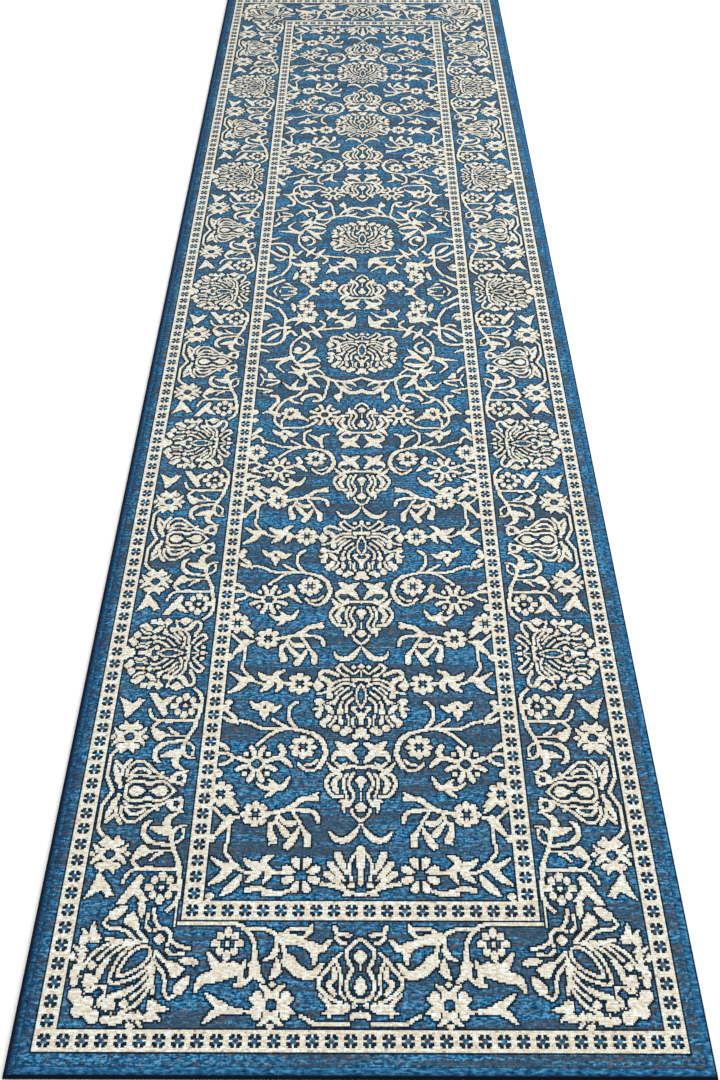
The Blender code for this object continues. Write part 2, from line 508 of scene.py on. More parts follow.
def end_border_scrolls():
    """The vines and leaves on one side of the end border, from the corner to the middle flower."""
    return [
        line(2.2, (76, 74.6), (90, 74.6), (108, 74.6), (113, 71.5), (117.4, 67), (119.4, 60), (119.4, 50)),
        horn(5.4, (119.4, 52), (120.6, 47), (125, 43)),
        line(2.2, (119, 50), (117.6, 45), (114, 41.6), (109.6, 40.6)),
        horn(3.0, (113, 42), (113, 48), (114.6, 55)),
        horn(3.0, (113, 50.6), (108, 50.6), (101, 51.6)),
        line(2.0, (113, 71.5), (120, 71.8), (126, 71.2), (130.6, 68), (131, 62), (129.4, 58)),
        horn(3.2, (131, 60), (129, 56.6), (124.6, 54.6)),
        patch((131.6, 56), (134, 52.6), (134.6, 48.6), (132, 45), (128, 44), (129.4, 50)),
        line(2.4, (133.6, 69), (134.8, 63), (136.6, 57), (140, 52.6)),
        horn(6.4, (138, 54), (144, 48.6), (151, 46.6), (157, 52.6)),
        horn(4.0, (141, 50), (147, 46), (154, 45.4)),
        line(2.0, (134, 68), (138, 71.6), (144, 72), (149.6, 72)),
        horn(2.6, (148.6, 71.6), (150, 72.4), (151, 75)),
        horn(3.0, (149.6, 72), (147.6, 68.6), (145, 66.8)),
        horn(6.0, (134, 66.6), (142, 65.6), (149, 62.4), (154, 61.4)),
        horn(5.0, (150, 62), (156, 61), (161, 65.6)),
        horn(4.4, (151.4, 61), (152.4, 57), (152, 52)),
        line(2.2, (163.4, 73), (164, 69.6), (167, 68.8), (171.6, 68.4)),
        line(2.2, (163.6, 67), (166.4, 64.6), (169.4, 63.6)),
        horn(7.4, (108, 49.6), (99, 46), (92, 44), (88.6, 38)),
        horn(5.2, (104, 50.6), (98.6, 51.4), (94, 58.4)),
    ]


def side_border_scrolls():
    """The vines and leaves between a bell flower, at 0, and a round palmette, at 104."""
    return [
        patch(
            (8.4, 52), (10.6, 55), (14, 58.6), (18.8, 66.2), (14.6, 67.4), (12.4, 64.4), (10.4, 63.2),
            (7.4, 66), (1.8, 68.6), (4.4, 63.4), (6.2, 59), (7.2, 54.6),
        ),
        patch(
            (32.8, 53), (28.8, 58), (25, 64.4), (20.6, 71.8), (25.8, 71.4), (28.6, 67.2), (30.8, 65.4),
            (33.2, 68), (39.6, 70.2), (35.6, 65), (32.8, 61), (34.6, 56),
        ),
        line(2.2, (53.6, 50), (46, 50.4), (36, 50), (30.6, 50.6)),
        line(1.9, (30.6, 50.6), (26.8, 51.4), (24.2, 54.4), (22.8, 58.6)),
        line(2.2, (29.8, 49.8), (26.6, 45.8)),
        line(2.6, (48.4, 35.6), (51, 41), (53.2, 46), (54, 51), (55.4, 57)),
        line(2.4, (55.4, 57), (55.9, 63), (55.4, 68), (53.4, 72.2), (50.4, 75.2)),
        line(2.2, (48, 35.4), (40, 34.6), (35, 33.2)),
        line(3.4, (34, 32.4), (30.8, 28.6), (30.2, 24.8)),
        horn(3.2, (30.4, 25), (31.6, 21.8), (35, 19.6)),
        horn(5.6, (44.6, 26.4), (40.6, 25.8), (34.6, 24.2)),
        line(2.6, (45.6, 27.4), (47.4, 31), (48.4, 36)),
        horn(4.4, (45, 27), (43.6, 21.6), (44.4, 18), (49.4, 14.8)),
        line(1.7, (48.6, 35), (52.6, 32.4), (54.6, 28.8), (53.8, 25.2)),
        horn(2.2, (47.4, 30), (48.8, 26), (51.6, 23.6), (56.6, 22.4)),
        dot(3.6, 31.6, 39.2),
        horn(4.8, (30, 40.4), (28.4, 42.4), (26.2, 44.8)),
        line(1.6, (34.6, 39.4), (42, 39), (49, 38.8)),
        horn(2.2, (43, 40), (39.6, 42), (36.4, 45.6)),
    ]


def side_bell():
    """The bell flower of the side borders: bud, heart, three nested petals and a curled foot."""
    return both_sides([
        line(2.2, (29.6, 6.8), (26, 3.8), (21, 2.9), (14, 2.9), (9.4, 3.2), (6, 5), (2.4, 7), (0, 7.8)),
        line(2.2, (20.6, 6.6), (18, 9.4), (15.2, 12.2)),
        line(2.4, (21.4, 15.8), (18.4, 13.8), (15.2, 12.2), (12, 11.6), (8, 10.8), (4.4, 12), (2.6, 12.4)),
        line(3.0, (16.6, 7), (13, 8.4), (9.6, 9.2), (7.4, 9.2)),
        line(1.9, (0, 16), (3.6, 16.2), (6.2, 18.8), (6.8, 22.6), (6.2, 26), (5.4, 29.6)),
        line(1.9, (5.4, 29.6), (6.2, 34), (6.5, 38), (4, 42), (0, 45.6)),
        patch((4.6, 27), (6, 28.4), (6, 31.6), (4.4, 33), (2.8, 30)),
        patch((0, 18), (2.6, 18.8), (3.7, 21.4), (3, 24.4), (1.2, 27), (0, 28)),
        dot(3.9, 0, 37.6),
        horn(2.4, (0, 34), (0, 30)),
        line(1.9, (7.2, 16.4), (10, 18.6), (11, 22), (10.8, 26), (9.8, 30), (10, 35), (8.6, 40.4)),
        horn(2.6, (10.4, 35), (13.4, 37.8)),
        line(2.2, (11, 17.2), (14, 19.2), (15.5, 22), (14.8, 25.6), (12.8, 28.8)),
        line(
            1.8, (10.4, 14.8), (13.8, 14.8), (17.2, 16.4), (20.2, 19.4), (20.6, 23), (18.6, 26.8),
            (15.6, 29.8), (12, 34),
        ),
        horn(3.4, (7.2, 43.2), (11.6, 45.6), (13.8, 52.6)),
        line(2.4, (12.4, 49.6), (9, 51), (5, 50)),
        line(1.8, (7.4, 44.2), (5.6, 46.6), (5, 49.4)),
    ])


def fan_palmette():
    """Upright petals spread like a fan over a curled foot."""
    return both_sides([
        petal(6.0, (0, 13), (0, 27)),
        line(1.8, (5.6, 9), (6.4, 15), (5.2, 22), (0, 28.6)),
        petal(4.4, (8.4, 13), (13.6, 24)),
        petal(4.0, (9.6, 8.4), (17.6, 18.4)),
        petal(4.0, (9.4, 4.4), (19.4, 12.4)),
        line(2.4, (7, 1.6), (12, 4), (16.6, 5.4), (22.4, 6.4)),
        line(2.0, (0, 0), (5, 0.6), (9.4, -0.4)),
        dot(1.9, 5.4, 5.4),
        line(2.4, (0, 6.4), (0, 12)),
    ])


def field_end():
    """The leaves along one side of the field's end, beside the fan."""
    return [
        line(2.2, (128, 105), (134, 104.8)),
        leaf(5.4, (108, 103.6), (104.6, 97.6), (98, 91.6)),
        line(3.0, (112.5, 94.5), (119, 95.6), (125, 92.8)),
        horn(3.8, (123, 93), (130, 92.4), (137, 94.4)),
    ]


def field_middle():
    """The vines and leaves on one side of the field's middle, from the fourth lotus to the fifth."""
    return [
        line(2.4, (112, 487.6), (122, 488), (131, 488.6), (135, 491), (139.4, 494.6)),
        line(
            2.4, (114, 487.4), (108.4, 492), (105.8, 499), (107, 509), (111, 518.6), (117, 525),
            (124, 529), (131, 541),
        ),
        line(1.9, (112, 491), (111.6, 495.6), (113.4, 499)),
        horn(4.4, (122, 503.4), (129, 500), (134, 496)),
        horn(3.4, (144, 472), (140, 476), (134, 480)),
        horn(3.4, (144, 472), (145.6, 478), (151, 480.4)),
        line(2.4, (145.6, 465), (144, 473)),
        line(3.2, (101.6, 528), (106, 527), (107.6, 522), (105, 516), (102, 511)),
        horn(4.2, (109, 503.4), (101, 507.4), (95.4, 506)),
        line(2.4, (89.4, 474), (92, 477.6), (96, 476), (98.6, 470.6)),
        horn(4.0, (94.6, 485.6), (91, 481), (88, 478)),
        dot(2.8, 89.4, 507),
        dot(2.8, 90, 497),
        patch((90.6, 436), (93.6, 441.8), (98.6, 435.4)),
        patch(
            (88, 433.4), (96, 432.4), (102, 430.4), (96, 427.4), (88.6, 423.4), (91, 427),
            (96, 429.6), (88, 430),
        ),
        horn(3.2, (117, 524), (121, 520), (127.6, 518)),
        line(3.6, (127.6, 523), (130, 527), (136, 529.4), (141, 528.6), (143, 525)),
        line(2.2, (137, 521.4), (143, 522), (146, 527), (147, 534), (148.6, 542), (148.4, 548), (144, 553)),
        dot(3.6, 157.6, 527),
        horn(3.0, (157.6, 525), (158.4, 520)),
        line(2.2, (154, 548), (157, 541), (160.4, 535), (159, 529)),
        line(4.0, (160.4, 539), (164, 534.4), (169, 531.6), (174, 532.6), (177.5, 535)),
        line(1.8, (161.6, 545.6), (164, 540), (168, 537)),
        line(
            2.8, (133, 553.4), (140, 554.4), (147, 552), (152, 548.6), (159, 547), (167, 547.4),
            (177.5, 551.6),
        ),
        horn(3.4, (163, 546.4), (168.6, 545), (172.6, 541)),
        line(2.2, (131, 541), (132.4, 549), (130, 556), (126, 564), (121.6, 571), (117.4, 577), (115, 585)),
        line(
            2.4, (115, 585), (115, 594), (117.4, 601), (122.6, 608), (128.6, 614), (136, 618),
            (145, 619.6),
        ),
        line(2.4, (145, 619.6), (153, 621), (160, 621.6), (165, 624.4)),
        horn(4.8, (133, 549), (136.6, 544), (141.6, 539)),
        horn(3.8, (130, 538), (118, 537.4), (110.4, 545.4)),
        horn(3.8, (119, 538), (120.6, 543), (123, 548.4)),
        horn(3.4, (125, 557), (119, 558.6), (114.6, 559)),
        horn(3.0, (123, 558), (125, 553.6), (127.6, 550)),
        horn(3.8, (127, 560), (121, 562), (116.4, 567.4)),
        horn(3.4, (129, 559.6), (136, 562.6), (141.6, 567)),
        line(1.8, (138.6, 563.4), (142, 560), (145, 556)),
        leaf(5.4, (120, 569.4), (130, 568.4), (140.6, 570.8)),
        leaf(5.4, (122, 572.6), (129, 579.4), (133, 585), (137.4, 591)),
        horn(3.6, (131, 580), (137.6, 579), (141, 574.6)),
        line(2.6, (124.4, 600.6), (129, 598), (130.4, 593), (128, 588), (123, 585.4), (118.4, 587)),
        dot(3.4, 121.6, 590.4),
        horn(4.2, (117, 579), (108, 577), (95, 575.4)),
        horn(3.8, (114, 578), (106, 571), (104.6, 566), (110.6, 558.6)),
        horn(3.6, (127, 613), (124.6, 617), (123.4, 620.6)),
        horn(3.8, (126, 614), (129.6, 609.6), (132, 604.4)),
        horn(4.2, (135, 616), (138, 612), (141.4, 607.6)),
        horn(3.0, (136, 618), (133.6, 622), (130.6, 625)),
        line(2.6, (139.4, 620.4), (143.6, 624.4), (143.4, 628.4), (140, 631.6)),
        horn(6.0, (168, 626), (163, 629), (158, 632.4), (153.4, 629)),
        horn(5.8, (164, 624), (169.4, 630), (171.4, 638.8)),
        horn(4.6, (151, 640), (147, 643.6), (143.4, 648)),
        horn(4.6, (151, 640), (153, 645), (154.8, 649)),
        horn(3.6, (150, 639), (160, 637), (169.4, 644.8)),
        horn(3.2, (150, 640), (147, 636.4), (146, 633.6)),
        line(2.8, (88, 599), (93, 597.4), (100, 597.8), (106, 602), (108.6, 609), (108.4, 618), (108, 626)),
        line(2.6, (108, 626), (108.6, 634), (106, 642), (101, 651.4)),
        line(3.4, (88.6, 610.4), (96, 618), (104, 621.4), (112.6, 622)),
        leaf(4.4, (94, 603), (99.4, 609), (104.6, 615)),
        line(2.4, (93.6, 624.6), (97.6, 626.8), (102, 624.6), (103, 620.6)),
        line(2.8, (109.6, 612), (114, 617), (118.4, 611)),
        horn(6.4, (131.6, 632.4), (122, 634.6), (115, 634.4), (110, 630.6)),
        horn(3.2, (121, 635), (120.6, 640.6), (118.6, 645)),
        horn(3.4, (123, 633), (120, 629), (117.4, 626)),
        leaf(4.4, (113, 658.6), (115, 652.4), (115.4, 646)),
        line(2.6, (120.4, 661), (126, 666.6), (131.6, 674)),
        horn(4.0, (132, 674.6), (129, 679), (126, 683)),
        horn(3.4, (132, 674), (135.6, 673.6), (138, 671)),
        line(2.3, (132.6, 675), (135, 684)),
        line(2.4, (138.6, 680), (146, 677.6), (153, 680)),
        line(2.2, (102, 680.4), (109, 678.4), (116.4, 674.4), (110, 671.4), (102.6, 671.4)),
        patch((103, 665), (108, 663.4), (113, 669.8)),
        line(3.4, (88, 671), (95, 665.6), (103.6, 659.6)),
        horn(3.6, (90, 659), (95, 655.6), (99.6, 650.6)),
        line(1.7, (90, 685), (95, 678), (98, 671.4)),
        line(1.7, (92.4, 689), (98, 683), (101.6, 676)),
        line(2.0, (97, 688), (102, 684), (109.6, 684)),
        dot(3.0, 90.6, 636),
        horn(3.4, (88, 641.6), (92, 641.8), (95.6, 638)),
        horn(3.2, (88, 590), (92, 589), (96, 586.6)),
        leaf(3.2, (88, 567), (92, 564.6), (96, 558)),
        patch((96.6, 557.6), (100.4, 558), (104.6, 551), (97, 551.6)),
        line(2.4, (94, 549), (100, 548.4), (107, 547), (104, 543.6), (97, 541.4)),
        line(1.6, (91, 556), (93.6, 549), (92, 542)),
        line(2.0, (88, 538), (94, 536.6), (101.6, 534.6), (95, 532)),
    ]


# ---------------------------------------------------------------- the whole design


def draw_guard(cartoon, inset):
    """A cream stripe with a row of stars along its middle."""
    cartoon.frame(inset, GUARD_WIDTH)
    star = np.array([list(row) for row in STAR.split()])
    half = len(star) // 2
    middle = inset + GUARD_WIDTH // 2
    rows, columns = cartoon.cream.shape
    across = [(middle, column) for column in range(middle, columns + half, STAR_REPEAT)]
    along = [(row, middle) for row in range(middle, rows + half, STAR_REPEAT)]
    for row, column in across + along:
        window = (slice(row - half, row + half + 1), slice(column - half, column + half + 1))
        seen = star[:cartoon.cream[window].shape[0], :cartoon.cream[window].shape[1]]
        cartoon.cream[window][seen != "."] = False
        cartoon.hearts[window][seen == "o"] = True


def draw_border(cartoon):
    """The border between the two guards: its corner, its end and its long side."""
    low = PLAIN_BAND + GUARD_WIDTH
    thin = INNER_GUARD - 3.4
    cartoon.frame(0, FIELD, False)
    cartoon.place([line(1.8, (thin, thin), (thin, 108))], 0, 0)
    cartoon.place(end_border_scrolls(), 0, 0)
    cartoon.place(bell_palmette(), MID_ACROSS, low)
    cartoon.place(wide_rosette(), 130, 30.6)
    cartoon.place(eyed_flower(), 104, 63.6)
    cartoon.place(forked_leaf(), 104, 29)
    cartoon.place(corner_palmette(), 66, 66, turn=-45)
    for bell in (157.5, 365.5, 573.5):
        for way, turn, flip, rosette in ((1, 0, False, 38.4), (-1, 180, True, 41.2)):
            cartoon.place(side_border_scrolls(), low, bell, turn=turn, flip=flip)
            cartoon.place(wide_rosette(), low + 12.6, bell + way * rosette, turn=90, size=0.96)
            cartoon.place(eyed_flower(), low + 45.4, bell + way * 61.6, size=1.05)
        cartoon.place(side_bell(), low, bell, turn=-90)
    for head in (261.5, 469.5, 677.5):
        cartoon.place(round_palmette(), low + 42.6, head, turn=-90, size=0.96)


def draw_field(cartoon):
    """The field's three repeats from its end, then what is only at its end and in its middle."""
    for start in (-FIELD_REPEAT, 0, FIELD_REPEAT):
        cartoon.place(field_repeat(), 0, start)
        for figure, x, y in (
            (lotus, MID_ACROSS, 304), (dotted_rosette, 112.5, 308), (square_flower, 114, 273.6),
            (square_flower, 141, 320), (square_flower, 92, 287), (swallow_leaf, 124, 292.4),
            (crescent, MID_ACROSS, 262), (drooping_spray, 138, 277.6), (leaf_cluster, 121, 239),
        ):
            cartoon.place(figure(), x, y + start)
    for start in (0, FIELD_REPEAT):
        cartoon.place(square_flower(), 137, 236.6 + start)
        cartoon.place(winged_leaf(), 115, 219.6 + start)
    cartoon.place(field_end(), 0, 0)
    cartoon.place(field_middle(), 0, 0)
    for figure, x, y in (
        (fan_palmette, MID_ACROSS, 92), (round_flower, 143, 103.8), (winged_leaf, 110, 417),
        (winged_leaf, 115, 482), (square_flower, 94, 459), (dotted_rosette, 147, 504),
        (square_flower, 126.6, 654.6),
    ):
        cartoon.place(figure(), x, y)
    cartoon.place(square_flower(), 119, 505.4, size=0.92)
    cartoon.place(square_flower(), 130, 641, size=0.9)
    cartoon.place(lotus(), MID_ACROSS, 484, turn=180)
    for bar in (240, 371.4, 602):
        cartoon.place(round_palmette(), MID_ACROSS, bar)


def mirrored(quarter):
    """A quarter of the rug's cells, repeated about both middle lines."""
    half = np.vstack([quarter, quarter[-2::-1]])
    return np.hstack([half, half[:, -2::-1]])


def design():
    """The whole rug's cream figures, and the dark outline that every figure has."""
    quarter = Cartoon(math.ceil(MID_ALONG), math.ceil(MID_ACROSS))
    draw_field(quarter)
    draw_border(quarter)
    draw_guard(quarter, PLAIN_BAND)
    draw_guard(quarter, INNER_GUARD)
    whole = Cartoon(TUFTS_ALONG, TUFTS_ACROSS)
    whole.cream, whole.hearts = (mirrored(cells) for cells in (quarter.cream, quarter.hearts))
    whole.place(lotus(), MID_ACROSS, 669, turn=180)
    for side in (-1, 1):
        whole.place(square_flower(), MID_ACROSS + side * 31.4, 687)
    cream = whole.cream
    around = np.pad(cream, 1)
    rows, columns = cream.shape
    beside = np.zeros_like(cream)
    for up in range(3):
        for over in range(3):
            beside |= around[up:up + rows, over:over + columns]
    return cream, beside & ~cream & ~whole.hearts


# ---------------------------------------------------------------- finishes


class Value:
    """A value in a material, with the arithmetic that adds its Math nodes."""

    def __init__(self, finish, socket):
        self.finish = finish
        self.socket = socket

    def math(self, operation, *others):
        inputs = dict(enumerate([self, *others]))
        return self.finish.node("ShaderNodeMath", {"operation": operation}, inputs)

    def __add__(self, other):
        return self.math("ADD", other)

    def __sub__(self, other):
        return self.math("SUBTRACT", other)

    def __rsub__(self, other):
        return self.finish.node("ShaderNodeMath", {"operation": "SUBTRACT"}, {0: other, 1: self})

    def __mul__(self, other):
        return self.math("MULTIPLY", other)

    def __truediv__(self, other):
        return self.math("DIVIDE", other)

    def __gt__(self, other):
        return self.math("GREATER_THAN", other)

    __radd__ = __add__
    __rmul__ = __mul__

    def floor(self):
        return self.math("FLOOR")

    def fraction(self):
        return self.math("FRACT")

    def sine(self):
        return self.math("SINE")

    def positive(self):
        return self.math("ABSOLUTE")

    def lesser(self, other):
        return self.math("MINIMUM", other)

    def clamped(self):
        return self.finish.node("ShaderNodeClamp", {}, {"Value": self})


class Finish:
    """A material under construction. It starts from the place on the rug, in metres."""

    def __init__(self, name):
        self.material = bpy.data.materials.new(name)
        self.material.use_nodes = True
        self.tree = self.material.node_tree
        self.tree.nodes.clear()
        place = self.node("ShaderNodeTexCoord", out="Object")
        self.x = self.node("ShaderNodeSeparateXYZ", {}, {0: place}, out="X")
        self.y = self.node("ShaderNodeSeparateXYZ", {}, {0: place}, out="Y")
        self.z = self.node("ShaderNodeSeparateXYZ", {}, {0: place}, out="Z")

    def node(self, kind, settings={}, inputs={}, out=None):
        """Adds a node, sets it up, fills its sockets with values or links, and gives one output."""
        node = self.tree.nodes.new(kind)
        for name, setting in settings.items():
            if name == "stops":
                ramp = node.color_ramp.elements
                while len(ramp) < len(setting):
                    ramp.new(0.5)
                for stop, (position, colour) in zip(ramp, setting):
                    stop.position = position
                    stop.color = colour
            else:
                setattr(node, name, setting)
        for key, content in inputs.items():
            found = node.inputs[key] if isinstance(key, int) else self.socket(node.inputs, key)
            if isinstance(content, Value):
                self.tree.links.new(content.socket, found)
            else:
                found.default_value = content
        if not node.outputs:
            return node
        return Value(self, self.socket(node.outputs, out) if out else node.outputs[0])

    def shaded_side(self, start, width):
        """Painted shade: 1 at the rug's left edge, falling to 0 from start to start + width inside it.

        It reaches half as far in from the near end.
        """
        nearest = (self.x - rug_low[0]).lesser((self.y - rug_low[1]) * 2)
        return ((start + width - nearest) / width).clamped()

    @staticmethod
    def socket(sockets, key):
        return next(s for s in sockets if key in (s.identifier, s.name))

    def vector(self, x, y, z=0.0):
        return self.node("ShaderNodeCombineXYZ", {}, {"X": x, "Y": y, "Z": z})

    def noise(self, x, y, z=0.0, detail=2.0):
        """Smooth noise of about one unit's size, from 0 to 1."""
        inputs = {"Vector": self.vector(x, y, z), "Scale": 1.0, "Detail": detail}
        return self.node("ShaderNodeTexNoise", {}, inputs, "Fac")

    def chance(self, x, y, z=0.0):
        """A number from 0 to 1 that is the same all over each cell of size one."""
        inputs = {"Vector": self.vector(x.floor(), y.floor(), z)}
        return self.node("ShaderNodeTexWhiteNoise", {}, inputs, "Value")

    def mix(self, factor, colour, other):
        colour, other = (c if isinstance(c, Value) else (*c, 1.0) for c in (colour, other))
        inputs = {"Factor_Float": factor, "A_Color": colour, "B_Color": other}
        return self.node("ShaderNodeMix", {"data_type": "RGBA"}, inputs, "Result_Color")

    def bump(self, height, depth):
        """A normal from a height between 0 and 1 that stands depth metres proud."""
        return self.node("ShaderNodeBump", {}, {"Height": height, "Distance": depth, "Strength": 1.0})

    def done(self, colour, roughness, normal=None, sheen=0.0, specular=0.2):
        inputs = {
            "Base Color": colour,
            "Roughness": roughness,
            "Sheen Weight": sheen,
            "Sheen Roughness": 0.5,
            "Specular IOR Level": specular,
        }
        if normal:
            inputs["Normal"] = normal
        shader = self.node("ShaderNodeBsdfPrincipled", {}, inputs)
        self.node("ShaderNodeOutputMaterial", {}, {"Surface": shader})
        return self.material


RUST_FLECK = (0.17, 0.080, 0.048)
# Painted shade round the rug's very edge: how far in it reaches, and over what width it fades out.
EDGE_SHADE_REACH = 0.0038
EDGE_SHADE_FADE = 0.0010
CORD_LAY = 0.004


def tuft_yarn(name, dark, colour, light, streak, streaks, flecks):
    """Cut wool tufts of one dye lot: darker and lighter dashes, streaks along the rows, odd flecks, and
    painted shade along the rug's left edge and near end.
    """
    finish = Finish(name)
    across = (finish.x - pile_low[0]) / tuft_width
    along = (finish.y - pile_low[1]) / tuft_length
    shade = finish.chance(across, along)
    dash = finish.noise(across * 0.28, along * 0.9, 2.0)
    fleck = finish.chance(across * 0.6, along, 7.0) > 1 - flecks
    batch = finish.noise(finish.x * 7, finish.y * 210, 3.0, detail=3.0)
    broad = finish.noise(finish.x * 1.6, finish.y * 30, 9.0)
    fibre = finish.noise(across * 3.2, along * 3.2)
    heather = (dash - 0.5) * 5.6 + (shade - 0.5) * 1.3 + (fibre - 0.5) * 1.2
    tone = finish.mix(heather.clamped(), colour, light)
    tone = finish.mix((0 - heather).clamped(), tone, dark)
    worn = ((batch * 0.6 + broad * 0.4 - 0.45) * 9.0).clamped() * streaks
    tone = finish.mix(worn, tone, streak)
    tone = finish.mix(fleck * (0.25 + 0.5 * fibre), tone, RUST_FLECK)
    # Painted shade: the pile darkens toward the rug's left edge and near end.
    tone = finish.mix(finish.shaded_side(0.010, 0.014) * 0.8, tone, dark)
    dome = (across.fraction() * math.pi).sine() * (along.fraction() * math.pi).sine()
    height = dome * 0.65 + fibre * 0.35
    return finish.done(tone, 0.88 + 0.1 * shade, finish.bump(height, 0.0009), specular=0.08)


def wrapped_yarn(name, painted_edge_shade, dark, colour, light):
    """Dyed yarn laid in turns side by side, with painted shade: near black round the rug's very edge and
    darker on its left and near sides.
    """
    finish = Finish(name)
    strand = finish.noise(finish.x * 900, finish.y * 900, finish.z * 900, detail=3.0)
    dye = finish.noise(finish.x * 120, finish.y * 330, detail=3.0)
    inset = (finish.x - rug_low[0]).lesser(rug_high[0] - finish.x)
    inset = inset.lesser(finish.y - rug_low[1]).lesser(rug_high[1] - finish.y)
    tone = finish.mix(((dye - 0.5) * 5.0 + (strand - 0.5) * 1.5).clamped(), colour, light)
    tone = finish.mix(((0.5 - dye) * 5.0).clamped(), tone, dark)
    # Painted shade: the binding darkens along the rug's left side and near end.
    tone = finish.mix(finish.shaded_side(0.0045, 0.010), tone, dark)
    # Painted shade: the turns go near black within a few millimetres of the rug's very edge.
    tone = finish.mix(((EDGE_SHADE_REACH - inset) / EDGE_SHADE_FADE).clamped(), tone, painted_edge_shade)
    return finish.done(tone, 0.78 + 0.2 * strand, finish.bump(strand, 0.0003), specular=0.1)


def woven_cloth(name, colour, dark, pitch):
    """Coarse plain-woven yarn, with thick and thin places along each thread, and painted shade in the gaps
    between the threads.
    """
    finish = Finish(name)
    across = finish.x / pitch
    along = finish.y / pitch
    warp = finish.noise(across.floor() * 3.7, finish.y * 120)
    weft = finish.noise(finish.x * 120, along.floor() * 5.3, 4.0)
    fibre = finish.noise(finish.x * 1500, finish.y * 1500, detail=3.0)
    hollow = (across * math.pi).sine().positive() * (along * math.pi).sine().positive()
    tone = finish.mix(warp * 0.5 + weft * 0.5, dark, colour)
    # Painted shade: darker in the gaps between the yarn crossings.
    tone = finish.mix((0.35 - hollow).clamped(), tone, dark)
    normal = finish.bump(fibre * 0.5 + hollow * 0.5, 0.0004)
    return finish.done(tone, 0.85 + 0.12 * fibre, normal, sheen=0.05)


def rubber_coat(name, colour):
    """A dull rubber skin, spread unevenly with a blade."""
    finish = Finish(name)
    spread = finish.noise(finish.x * 14, finish.y * 90)
    pits = finish.noise(finish.x * 700, finish.y * 700, detail=3.0)
    tone = finish.mix(spread * 0.6, colour, tuple(0.7 * c for c in colour))
    return finish.done(tone, 0.45 + 0.3 * spread, finish.bump(pits, 0.0002), specular=0.4)


def twisted_cord(name, colour):
    """Cotton strands laid round each other, with painted shade in the grooves between them."""
    finish = Finish(name)
    strand = ((finish.x + finish.y + finish.z * 2.0) * (2 * math.pi / CORD_LAY)).sine() * 0.5 + 0.5
    fibre = finish.noise(finish.x * 1200, finish.y * 1200, finish.z * 1200)
    # Painted shade in the grooves between the strands, mixed with random fibre tone.
    tone = finish.mix(strand * 0.5 + fibre * 0.3, tuple(0.6 * c for c in colour), colour)
    return finish.done(tone, 0.8 + 0.15 * fibre, finish.bump(strand, 0.0004))


# ---------------------------------------------------------------- meshes


def make_piece(name, points, faces, finish):
    """One smooth mesh of one finish that lies with the rug."""
    mesh = bpy.data.meshes.new(name)
    mesh.from_pydata(points, [], faces)
    mesh.materials.append(finish)
    mesh.shade_smooth()
    piece = bpy.data.objects.new(name, mesh)
    bpy.context.scene.collection.objects.link(piece)
    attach(piece, "root")
    return piece


def grid_faces(rows, columns):
    """Quads over a grid of rows x columns points that are numbered row by row."""
    corner = np.arange((rows - 1) * columns).reshape(rows - 1, columns)[:, :-1]
    return np.stack([corner, corner + 1, corner + 1 + columns, corner + columns], -1).reshape(-1, 4)


def slab(top, floor_height):
    """A closed body: a grid of top points, straight sides, and one flat face below."""
    rows, columns = top.shape[:2]
    number = np.arange(rows * columns).reshape(rows, columns)
    rim = np.concatenate([number[0, :-1], number[:-1, -1], number[-1, :0:-1], number[:0:-1, 0]])
    points = top.reshape(-1, 3)
    below = points[rim] * (1, 1, 0) + (0, 0, floor_height)
    under = len(points) + np.arange(len(rim))
    sides = np.stack([np.roll(rim, -1), rim, under, np.roll(under, -1)], -1)
    return np.vstack([points, below]), grid_faces(rows, columns), sides, under[::-1]


def add_faces(mesh, quads, sides, base):
    loops = np.concatenate([quads.ravel(), sides.ravel(), base])
    sizes = np.concatenate([np.full(len(quads) + len(sides), 4), [len(base)]])
    mesh.loops.add(len(loops))
    mesh.loops.foreach_set("vertex_index", loops.astype(np.int32))
    mesh.polygons.add(len(sizes))
    starts = np.concatenate([[0], np.cumsum(sizes)[:-1]])
    mesh.polygons.foreach_set("loop_start", starts.astype(np.int32))


def bake_layout(mesh, rows, columns, side_count, base_size):
    """A UV square for each tuft, the rows folded into columns that fill the sheet."""
    folds = max(1, round(math.sqrt(rows / columns)))
    rows_each = math.ceil(rows / folds)
    cell = 1 / (max(folds * columns, rows_each) + 2)
    row, column = np.divmod(np.arange(rows * columns), columns)
    left = (row // rows_each * columns + column) * cell
    low = (row % rows_each) * cell
    corners = np.array([(0.06, 0.06), (0.94, 0.06), (0.94, 0.94), (0.06, 0.94)]) * cell
    tufts = np.stack([left, low], -1)[:, None] + corners
    spare = np.full((side_count * 4 + base_size, 2), 1 - cell)
    ring = np.arange(len(spare)) * 2 * math.pi / len(spare)
    spare = spare + 0.4 * cell * np.stack([np.cos(ring), np.sin(ring)], -1)
    layout = mesh.uv_layers.new(name="OFBake")
    layout.uv.foreach_set("vector", np.concatenate([tufts.reshape(-1, 2), spare]).ravel())


